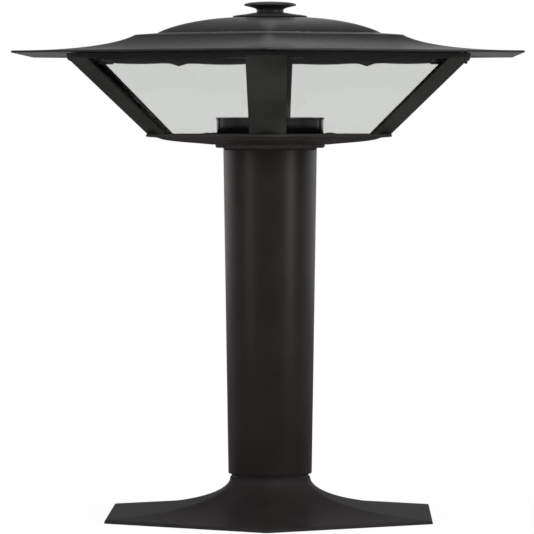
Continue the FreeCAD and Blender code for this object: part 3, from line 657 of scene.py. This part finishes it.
foot_section = bar_section(cage_foot_radius, foot_wing, foot_flat)
top_section = bar_section(cage_top_radius, top_wing, top_flat)
climb = np.linspace(0, 1, 9)[:, None, None]
bar_plan = foot_section * (1 - climb) + top_section * climb
bar_rise = np.broadcast_to(cage_foot + (cage_top - cage_foot) * climb[..., 0], bar_plan.shape[:2])
bar_grid = np.dstack([bar_plan, bar_rise]) * mm
print("a bar's grid is", bar_grid.shape[:2])

# %% [markdown]
# A tab at each end of a bar takes the screws to tray and ring. A box with a bevel would do. Four rows of one
# eased square, drawn in a little at the bottom and the top, give the same with the helpers at hand.

# %% Corner bars
tab_in, tab_out, tab_half, tab_thick, tab_edge = 15.4, 5.6, 3.8, 1.6, 0.3
foot_tab_proud = 0.15


def plate_skin(corner, opposite, edge):
    """Flat tab with eased edges: its outline drawn in by edge at its bottom and top, full size between."""
    corner, opposite = np.array(corner, float), np.array(opposite, float)
    middle, half = (corner + opposite)[:2] / 2, abs(opposite - corner)[:2] / 2
    square = ease_corners([(-1, -1), (1, -1), (1, 1), (-1, 1)], 0.12)
    draw = np.array([edge, 0, 0, edge])[:, None, None]
    height = np.array([corner[2], corner[2] + edge, opposite[2] - edge, opposite[2]])
    plan = middle + square[None] * (half - draw)
    return np.dstack([plan, np.broadcast_to(height[:, None], plan.shape[:2])]) * mm


bar_grids = [bar_grid]
for radius, high in ((cage_foot_radius, cage_foot + foot_tab_proud), (cage_top_radius, cage_top)):
    rib = radius - bar_depth
    inner, outer = (rib - tab_in, -tab_half, high - tab_thick), (rib + tab_out, tab_half, high)
    bar_grids.append(plate_skin(inner, outer, tab_edge))
for i, angle in enumerate(corner_angles):
    skins = [skin(turn_about_axis(grid, angle), capped=True) for grid in bar_grids]
    piece(f"corner_bar_{i + 1}", skins, bar_coat, stands_for=f"strut_{i + 1}")

# %% [markdown]
# The top ring ties the bars together. Its lower edge hangs down between them as an apron:
# two shallow swags and a pointed drop on every side. The edge is a curve in the face, so the ring is one
# strip per face, carried round an angle section, whose ends meet at the flat noses over the bars.
# Cutting the scallops out of a finished ring would leave ragged faces along the cut.

# %% Apron edge
drop_half, past_corner = 12.0, 200.0
end_dip, swag_dip, join_dip, drop_dip = -0.7, -2.2, -0.9, -3.4
apron_half = cage_top_radius * 0.5 - top_wing / cos_30 - 0.8
swag_pull = 0.3 * (apron_half - drop_half)
swag_poles = [
    (-apron_half, end_dip),
    (-apron_half + swag_pull, swag_dip),
    (-drop_half - swag_pull, swag_dip),
    (-drop_half, join_dip),
]
drop_poles = [(-drop_half, join_dip), (-8, join_dip), (-4, swag_dip), (0, drop_dip)]
swag, drop = bezier(swag_poles, 17), bezier(drop_poles, 11)
left_edge = np.vstack([(-past_corner, 0), (-apron_half - 0.05, 0), swag, drop[1:]])
apron_edge = np.vstack([left_edge, left_edge[-2::-1] * (-1, 1)])
print("apron edge has", len(apron_edge), "points")

# %% [markdown]
# The ring's own section is an L: the apron outside and a flange inside that carries the gasket.
# Along a face the strip runs past both corners, and each row is clipped at its mitre with the flat nose.

# %% Top ring and apron
ring_high = np.array(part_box("top_ring")[1]) / mm
ring_apothem = ring_high[0]
ring_rise = ring_high[2] - cage_top
flange_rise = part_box("roof_gasket")[0][2] / mm - cage_top
ring_opening, apron_wall = 126.9, 2.5
flange_in = ring_opening - ring_apothem
ring_corners = [
    (0, ring_rise, 0),
    (0, 0, 1),
    (-apron_wall, 0, 1),
    (-apron_wall, 0, 0),
    (flange_in, 0, 0),
    (flange_in, flange_rise, 0),
    (-apron_wall, flange_rise, 0),
    (-apron_wall, ring_rise, 0),
]
ring_section = ease_corners(ring_corners, 0.3)
nose_half = top_flat + ring_section[:, 0] * (1 / cos_30 - 1) / tan_30
face_half = ((ring_apothem + ring_section[:, 0]) * tan_30 - nose_half / cos_30)[:, None] * mm
strip = face_strip(ring_section, apron_edge[:, 0], apron_edge[:, 1], ring_apothem, cage_top, 0.0)
strip[..., 1] = np.clip(strip[..., 1], -face_half, face_half)
ring_grid = np.concatenate([turn_about_axis(strip, angle) for angle in face_angles], axis=1)
piece("ring_apron", [skin(ring_grid)], casting_coat, stands_for="top_ring")

# %% [markdown]
# The roof's lower tier sweeps up in a hollow curve to a flat ledge. Seen from the front its hips catch
# a soft band of light, so they are rounded, sharply at the eave and more and more towards the top.
# A bevel would give every hip one width. Inside, a rib stands on the gasket.

# %% Roof skirt profiles
skirt_low, skirt_high = (np.array(corner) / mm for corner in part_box("roof_skirt"))
eave_apothem = skirt_high[0]
dome_seat = skirt_high[2]
roof_seat = skirt_low[2]
eave_top = roof_seat + 1.6
skirt_top = dome_seat - 1.4
skirt_wall = 2.5
sweep_apothem, brow_apothem = eave_apothem - 52.5, eave_apothem - 90.4
dome_apothem, dome_opening = eave_apothem - 106.9, eave_apothem - 120.9
brow_foot = brow_apothem + 10.5
eave_hip, sweep_hip, brow_hip = 3.0, 9.0, 15.0
skirt_profile = outline(
    [
        [(eave_apothem, eave_hip, roof_seat)],
        [
            (eave_apothem, eave_hip, eave_top),
            (sweep_apothem, sweep_hip, eave_top + 0.6),
            (brow_foot, brow_hip, skirt_top - 6),
            (brow_apothem, brow_hip, skirt_top),
        ],
        [(dome_apothem, brow_hip, dome_seat)],
        [(dome_opening, brow_hip, dome_seat)],
        [(dome_opening, brow_hip, skirt_top - skirt_wall)],
        [
            (brow_apothem - skirt_wall, brow_hip, skirt_top - skirt_wall),
            (brow_foot, brow_hip, skirt_top - 6 - skirt_wall),
            (sweep_apothem, sweep_hip, eave_top - 1),
            (eave_apothem - 1, eave_hip, roof_seat),
        ],
    ],
    reach=0.5,
)
rib_out, rib_out_hip, rib_out_top = ring_apothem - 5.0, 14.0, roof_seat + 2.4
rib_in, rib_in_hip, rib_in_top = ring_apothem - 9.5, 12.0, roof_seat + 2.6
rib_profile = outline(
    [
        [(rib_out, rib_out_hip, roof_seat)],
        [(rib_out, rib_out_hip, rib_out_top)],
        [(rib_in, rib_in_hip, rib_in_top)],
        [(rib_in, rib_in_hip, roof_seat)],
    ],
    reach=0.3,
)
print("skirt profile has", len(skirt_profile), "points and its rib", len(rib_profile))

# %% [markdown]
# The roof is lined in white inside the ring, which throws light back down on the inner sides of the bars.
# A second shell would lie on the first and flicker, so the lining is a second finish on the faces
# that look down.

# %% Roof skirt
down_facing = -0.05


def line_underside(tier):
    """White lining on the faces inside the ring whose normal points down, found from all faces at once."""
    faces = tier.data.polygons
    centre, normal = np.empty(3 * len(faces), np.float32), np.empty(3 * len(faces), np.float32)
    faces.foreach_get("center", centre)
    faces.foreach_get("normal", normal)
    out = np.linalg.norm(centre.reshape(-1, 3)[:, :2], axis=1)
    lined = (out < ring_opening * mm) & (normal.reshape(-1, 3)[:, 2] < down_facing)
    tier.data.materials.append(white_lining)
    faces.foreach_set("material_index", lined.astype(np.int32))
    print(tier.name, "is lined on", lined.sum(), "faces")


skirt_skins = [skin(six_sided(profile)) for profile in (skirt_profile, rib_profile)]
skirt_tier = piece("skirt_tier", skirt_skins, roof_coat, body="roof", stands_for="roof_skirt")
line_underside(skirt_tier)

# %% [markdown]
# The upper tier is a low dome, hexagonal at its foot and nearly flat on top, with a round hole for the stud.
# A flattened sphere would lose the hips, so it has the same kind of profile rows as the skirt.

# %% Roof dome
dome_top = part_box("roof_dome")[1][2] / mm
dome_wall = 3.0
crown_apothem = 29.0
shoulder_apothem = crown_apothem + 26
stud_hole = 4.15
dome_hip, crown_hip = 16.0, 20.0
dome_profile = outline(
    [
        [
            (dome_apothem, brow_hip, dome_seat),
            (dome_apothem - 8, dome_hip, dome_seat + 5.1),
            (shoulder_apothem, crown_hip, dome_top - 1.4),
            (crown_apothem, crown_hip, dome_top),
        ],
        round_run((stud_hole, dome_top)),
        round_run((stud_hole, dome_top - dome_wall)),
        [
            (crown_apothem, dome_hip, dome_top - dome_wall),
            (shoulder_apothem, dome_hip, dome_top - 1.4 - dome_wall),
            (dome_apothem - 12, brow_hip, dome_seat + 4.5),
            (dome_apothem - 7, brow_hip, dome_seat + dome_wall),
        ],
        [(dome_opening, brow_hip, dome_seat + dome_wall)],
        [(dome_opening, brow_hip, dome_seat)],
    ],
    reach=0.5,
)
dome_skins = [skin(six_sided(dome_profile))]
dome_tier = piece("dome_tier", dome_skins, roof_coat, body="roof", stands_for="roof_dome")
line_underside(dome_tier)

# %% [markdown]
# On top sits a turned finial: a thin rosette that flares up to the knob, and the knob that clamps the roof.
# Both come off a lathe, so both are closed profiles turned about the axis.

# %% Finial
rosette_low, rosette_high = (np.array(corner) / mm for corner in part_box("finial_rosette"))
knob_low, knob_high = (np.array(corner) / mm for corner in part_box("finial_knob"))
waist = rosette_low[2] + 0.6
flare_rise = waist + 1.3
rosette_mouth = 14.0
rosette_profile = outline(
    [
        [(stud_hole, rosette_low[2])],
        [(rosette_high[0], rosette_low[2])],
        [(rosette_high[0], waist), (25, flare_rise), (18, flare_rise), (rosette_mouth, rosette_high[2])],
        [(stud_hole, rosette_high[2])],
    ],
    reach=0.3,
)
knob_neck, knob_foot, knob_swell = 10.5, 12.6, 14.0
knob_base, knob_top = knob_low[2], knob_high[2]
neck_level, brim_low, brim_high, socket_top = (knob_base + rise for rise in (2.2, 5.7, 6.3, 6.5))
brim = knob_high[0]
knob_profile = outline(
    [
        [(stud_hole, knob_base)],
        [(knob_foot, knob_base), (knob_neck, knob_base), (knob_neck, knob_base), (knob_neck, neck_level)],
        [
            (knob_neck, neck_level + 0.1),
            (knob_neck, neck_level + 1.4),
            (knob_swell, brim_low - 1.5),
            (brim, brim_low),
        ],
        [(brim, brim_high), (brim, brim_high + 1.5), (knob_swell, knob_top - 0.5), (0, knob_top)],
        [(0, socket_top)],
        [(stud_hole, socket_top)],
    ],
    reach=0.2,
)
# Rosette and knob take the lightened coat: painted light on the finial's shaded neck.
piece("rosette", [skin(turned(rosette_profile))], finial_coat_painted_light, body="roof", stands_for="finial_rosette")
piece("knob", [skin(turned(knob_profile))], finial_coat_painted_light, body="finial", stands_for="finial_knob")

# %% [markdown]
# The lamp cup is spun from sheet, with a rolled lip at its mouth, and stoved in gloss enamel.
# Spinning is turning too, so one section with its wall, floor and lip makes it.

# %% Lamp cup
cup_low, cup_high = (np.array(corner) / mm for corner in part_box("lamp_cup"))
cup_wall, cup_floor = 1.8, cup_low[2] + 2
lip_radius, lip_low = cup_high[0], cup_high[2] - 1.6
cup_radius = lip_radius - 0.7
cup_profile = outline(
    [
        [(0, cup_low[2])],
        [(cup_radius, cup_low[2])],
        [(cup_radius, lip_low)],
        [(lip_radius, lip_low)],
        [(lip_radius, cup_high[2])],
        [(cup_radius - cup_wall, cup_high[2])],
        [(cup_radius - cup_wall, cup_floor)],
        [(0, cup_floor)],
    ],
    reach=0.5,
)
piece("cup", [skin(turned(cup_profile))], cup_enamel, stands_for="lamp_cup")

# %% [markdown]
# Hexagon-head screws hold the cage, the bridge and the light unit. A real head is a hexagon whose corners
# are turned off in a cone, above a round washer face. The same profile rows make that, because a row whose
# corner radius equals its apothem is a circle. One screw is worked out along +Z and carried to every place.

# %% One screw
head_share = 1.75


def screw_grid(radius, grip, head):
    """Grid of a screw along +Z, head on the origin plane: shank, washer face, six flats, turned-off top."""
    half = head_share * radius
    cone = 0.18 * head
    rows = [
        round_run((0, -grip)),
        round_run((0.8 * radius, -grip)),
        round_run((radius, 0.3 * radius - grip)),
        round_run((radius, 0)),
        round_run((0.96 * half, 0)),
        [(half, 0.1 * half, cone)],
        [(half, 0.1 * half, head - cone)],
        round_run((0.9 * half, head)),
        round_run((0, head)),
    ]
    return six_sided(outline(rows, reach=0.08), arc_points=5, side_points=3)


def carry(grid, place, towards=(0, 0, 1)):
    """The grid at a place in millimetres, its +Z turned to a direction: side = Y x up, back = up x side."""
    up = np.array(towards, float) / np.linalg.norm(towards)
    side = np.cross((0, 1, 0), up)
    side /= np.linalg.norm(side)
    return grid @ np.array([side, np.cross(up, side), up]) + np.array(place) * mm


def round_places(grid, angles):
    """Skins of copies of the grid, turned about the lamp's axis to each angle."""
    return [skin(turn_about_axis(grid, angle)) for angle in angles]


def upright_screws(name, node, radius, head, reach, angles):
    """Screws that look up, reach out from the axis at each angle, as deep and as high as their CAD node."""
    low, high = (corner[2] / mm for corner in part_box(node))
    grid = carry(screw_grid(radius, high - head - low, head), (reach, 0, high - head))
    piece(name, round_places(grid, angles), plated_steel, stands_for=node)


print("a screw's grid is", screw_grid(2.0, 8.0, 1.2).shape[:2])

# %% [markdown]
# Most screws stand upright in a circle about the axis. The bridge's stand in two rows, and the clips' lean
# with the bars, so those are carried to their own places.

# %% Screws
tab_screw = bar_depth + 8.4
cage_screw, cage_head = 2.0, 1.2
unit_screw, unit_head = 1.5, 1.5
unit_reach = -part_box("unit_screws")[0][0] / mm - head_share * unit_screw
foot_reach, top_reach = cage_foot_radius - tab_screw, cage_top_radius - tab_screw
upright_screws("foot_screws", "strut_foot_screws", cage_screw, cage_head, foot_reach, corner_angles)
upright_screws("ring_screws", "strut_top_screws", cage_screw, cage_head, top_reach, corner_angles)
upright_screws("light_screws", "unit_screws", unit_screw, unit_head, unit_reach, np.radians((60, 180, 300)))

bridge_low, bridge_high = (np.array(corner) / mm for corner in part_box("bridge_screws"))
bridge_radius, bridge_head, bridge_y = 2.0, 1.5, 6.0
bridge_x = bridge_high[0] - head_share * bridge_radius
bridge_seat = bridge_high[2] - bridge_head
bridge_screw = screw_grid(bridge_radius, bridge_seat - bridge_low[2], bridge_head)
bridge_spots = [(x, y, bridge_seat) for x in (-bridge_x, bridge_x) for y in (-bridge_y, bridge_y)]
bridge_skins = [skin(carry(bridge_screw, spot)) for spot in bridge_spots]
piece("crossbar_screws", bridge_skins, plated_steel, stands_for="bridge_screws")

clip_drop, clip_thick = 7.0, 1.2
clip_radius, clip_grip, clip_head = 1.5, 4.5, 1.5
clip_back = bar_depth + clip_thick * math.hypot(1, cage_run)
clip_spot = (cage_top_radius - clip_drop * cage_run - clip_back, 0, cage_top - clip_drop)
clip_screw = carry(screw_grid(clip_radius, clip_grip, clip_head), clip_spot, (-1, 0, cage_run))
clip_skins = round_places(clip_screw, corner_angles)
piece("pane_clip_screws", clip_skins, casting_coat, stands_for="clip_screws")

# %% [markdown]
# The stud that takes the finial is a threaded rod between two nuts. A thread is a groove that climbs one
# pitch a turn, so the rod's radius depends on height minus angle. That one line of algebra replaces
# a swept triangle.

# %% Stud and nuts
stud_radius, thread_pitch = 4.0, 1.25
nut_flats, nut_height = 13.0, 6.5


def threaded(radius, low, high, pitch, columns=32, rows_per_pitch=8):
    """Grid of a threaded rod: r = radius - depth (1 - |2 f - 1|), f the fraction of z / pitch - u / 2 pi."""
    depth = 0.54 * pitch
    angle = np.linspace(0, 2 * np.pi, columns, endpoint=False)[None, :]
    height = np.linspace(low, high, int((high - low) / pitch * rows_per_pitch))[:, None]
    phase = (height / pitch - angle / (2 * np.pi)) % 1
    groove = depth * (1 - abs(2 * phase - 1))
    to_end = np.minimum(height - low, high - height)
    reach = np.minimum(radius - groove, radius - depth + to_end)
    rise = np.broadcast_to(height, reach.shape)
    return np.dstack([reach * np.cos(angle), reach * np.sin(angle), rise]) * mm


def nut_grid(flats, bore, low, high):
    """Grid of a nut on the axis: its bore, and six flats whose corners are turned off above and below."""
    half = flats / 2
    cone = 0.1 * half
    rows = [
        round_run((bore, low)),
        round_run((0.94 * half, low)),
        [(half, 0.06 * half, low + cone)],
        [(half, 0.06 * half, high - cone)],
        round_run((0.94 * half, high)),
        round_run((bore, high)),
    ]
    return six_sided(outline(rows, reach=0.2), arc_points=7, side_points=3)


stud_low, stud_high = (corner[2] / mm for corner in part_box("roof_stud"))
stud_grid = threaded(stud_radius, stud_low, stud_high, thread_pitch)
stud_skin = skin(stud_grid, capped=True)
piece("threaded_stud", [stud_skin], plated_steel, stands_for="roof_stud")
nuts_low, nuts_high = (corner[2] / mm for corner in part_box("stud_nuts"))
nut_spans = [(nuts_low, nuts_low + nut_height), (nuts_high - nut_height, nuts_high)]
nut_skins = [skin(nut_grid(nut_flats, stud_hole, low, high)) for low, high in nut_spans]
piece("crossbar_nuts", nut_skins, plated_steel, stands_for="stud_nuts")

# %% [markdown]
# The floor is plain white paper that keeps a soft shadow near the lamp. More light would bleach it,
# and the lamp with it. So rays that look at it see plain white, mixed with a little of the lit paper near
# the lamp. Mirrored rays see it dimmer: a faint patch round the lamp, and brighter behind and at the sides.

# %% Floor
floor_half, floor_gap = 8.0, 0.2 * mm
shadow_share = 0.06
near_glow, back_glow, side_glow = 0.14, 0.4, 0.15


def ray_kinds(start):
    """Two masks: rays that look at the backdrop, straight or through glass, and rays that were mirrored."""
    kinds = ("Camera", "Glossy", "Transmission")
    camera, glossy, through = (start.add("ShaderNodeLightPath", output=f"Is {kind} Ray") for kind in kinds)
    bounced = start.add("ShaderNodeLightPath", output="Glossy Depth").step(0, 1)
    looking = camera.math("MAXIMUM", camera, through)
    seen = looking * (1 - bounced)
    return seen, glossy.math("MAXIMUM", glossy, looking) * (1 - seen)


def floor_finish():
    """White for rays that look, less a share of lit paper near the lamp, and a glow for mirrored rays."""
    material, place = new_finish("floor_paper")
    away = place.add("ShaderNodeVectorMath", {"operation": "LENGTH"}, {0: place}, output="Value")
    aside, back = (place.add("ShaderNodeSeparateXYZ", inputs={0: place}, output=name) for name in "XY")
    near = 1 - away.step(0.18, 0.75)
    round_lamp, behind, beside = 1 - away.step(0.5, 2.5), back.step(1.0, 4.0), abs(aside).step(0.8, 2.0)
    glow = near_glow * round_lamp + back_glow * behind + side_glow * beside
    seen, mirrored = ray_kinds(place)
    paper = place.add("ShaderNodeBsdfDiffuse", inputs={"Color": (0.9, 0.9, 0.9, 1)})
    white = {"Color": (1, 1, 1, 1), "Strength": seen + mirrored * glow}
    plain = place.add("ShaderNodeEmission", inputs=white)
    share = seen * (1 - shadow_share * near) + mirrored
    return close_finish(material, place.add("ShaderNodeMixShader", inputs={0: share, 1: paper, 2: plain}))


floor_corners = np.array([(-1, -1, 0), (1, -1, 0), (1, 1, 0), (-1, 1, 0)]) * floor_half
floor_mesh = bpy.data.meshes.new("floor")
floor_mesh.from_pydata(floor_corners, [], [(0, 1, 2, 3)])
floor_mesh.materials.append(floor_finish())
floor = bpy.data.objects.new("floor", floor_mesh)
floor.location.z = -floor_gap
bpy.context.scene.collection.objects.link(floor)

# %% [markdown]
# Black paint shows little of its own colour. What shapes it is what it mirrors, so the studio is drawn
# in the world by direction: a white sweep ahead that is brightest at the horizon, a narrow slit of light
# right behind the lamp, white walls at both sides, and a bright ceiling behind the camera. Low behind the
# camera it is dark. That keeps the front faces dark, while surfaces seen at a slant pick up the white.

# %% World
horizon_light, sweep_light, slit_light, right_light, left_light = 0.47, 0.17, 0.34, 0.72, 0.8
fill = 1.0


def studio_world():
    """White for rays that look, the drawn studio for mirrored rays, and an even fill for all other light."""
    world = bpy.data.worlds.new("studio")
    bpy.context.scene.world = world
    world.use_nodes = True
    world.node_tree.nodes.clear()
    start = Wire(world.node_tree)
    way = start.add("ShaderNodeTexCoord", output="Generated")
    right, ahead, upward = (way.add("ShaderNodeSeparateXYZ", inputs={0: way}, output=name) for name in "XYZ")
    left, backward = -1.0 * right, -1.0 * ahead
    horizon = horizon_light * (1 - abs(upward).step(0.02, 0.22))
    sweep = ahead.step(-0.2, 0.8) * (horizon + sweep_light * (1 - upward.step(0.5, 0.9)))
    slit = slit_light * ahead.step(0.0, 0.3) * (1 - abs(right).step(0.01, 0.08))
    right_wall = right_light * right.step(0.3, 0.8) * ahead.step(-0.1, 0.3)
    left_wall = left_light * left.step(0.3, 0.8) * ahead.step(0.0, 0.35)
    ceiling = backward.step(0.0, 0.5) * upward.step(0.1, 0.4)
    seen, mirrored = ray_kinds(start)
    studio = mirrored * (sweep + slit + right_wall + left_wall + ceiling)
    strength = seen + studio + (1 - seen - mirrored) * fill
    shine = start.add("ShaderNodeBackground", inputs={"Color": (1, 1, 1, 1), "Strength": strength})
    shine.add("ShaderNodeOutputWorld", inputs={"Surface": shine})
    print("world has", len(world.node_tree.nodes), "nodes")


studio_world()

# %% [markdown]
# Three soft boxes light the lamp: a large one above, a weak one on the left and a stronger one on the right.
# Small lamps would draw hard spots on gloss paint. A wide rectangle draws broad bands with soft edges.

# %% Soft boxes
lamp_middle = (0, 0, 0.25)


def soft_box(name, place, size, power):
    """Large area light that faces the middle of the lamp."""
    lamp = bpy.data.lights.new(name, "AREA")
    lamp.shape = "RECTANGLE"
    lamp.size, lamp.size_y = size
    lamp.energy = power
    thing = bpy.data.objects.new(name, lamp)
    x, y, z = np.array(place) - lamp_middle
    thing.rotation_euler = (math.atan2(math.hypot(x, y), z), 0, math.atan2(x, -y))
    thing.location = place
    bpy.context.scene.collection.objects.link(thing)
    print(name, "at", place, power, "W")


soft_box("top_box", (0.0, -0.2, 2.4), size=(2.0, 2.0), power=18)
soft_box("left_box", (-1.9, -1.5, 0.9), size=(0.9, 1.6), power=7)
soft_box("right_box", (1.9, -1.4, 0.9), size=(0.9, 1.6), power=14)

# %% [markdown]
# The camera stands level with the glass and a good way off, with a long lens, so the lamp is hardly
# foreshortened. It stands a degree to the right of the front corner and looks slightly down.

# %% Camera
eye_height, eye_distance, aim_height = 0.3015, 3.2, 0.1936
eye_turn = math.radians(1.0)
view_width = 0.4156
axis_shift = 0.0024
camera = bpy.data.cameras.new("photo_camera")
camera.sensor_width = 36.0
camera.lens = camera.sensor_width * math.hypot(eye_distance, eye_height - aim_height) / view_width
camera.shift_x = -axis_shift / view_width
camera.clip_end = 60.0
viewer = bpy.data.objects.new("photo_camera", camera)
viewer.location = (eye_distance * math.sin(eye_turn), -eye_distance * math.cos(eye_turn), eye_height)
viewer.rotation_euler = (math.atan2(eye_distance, eye_height - aim_height), 0, eye_turn)
bpy.context.scene.collection.objects.link(viewer)
bpy.context.scene.camera = viewer
bpy.context.scene.view_settings.view_transform = "Standard"
print("lens", round(camera.lens, 1), "mm")
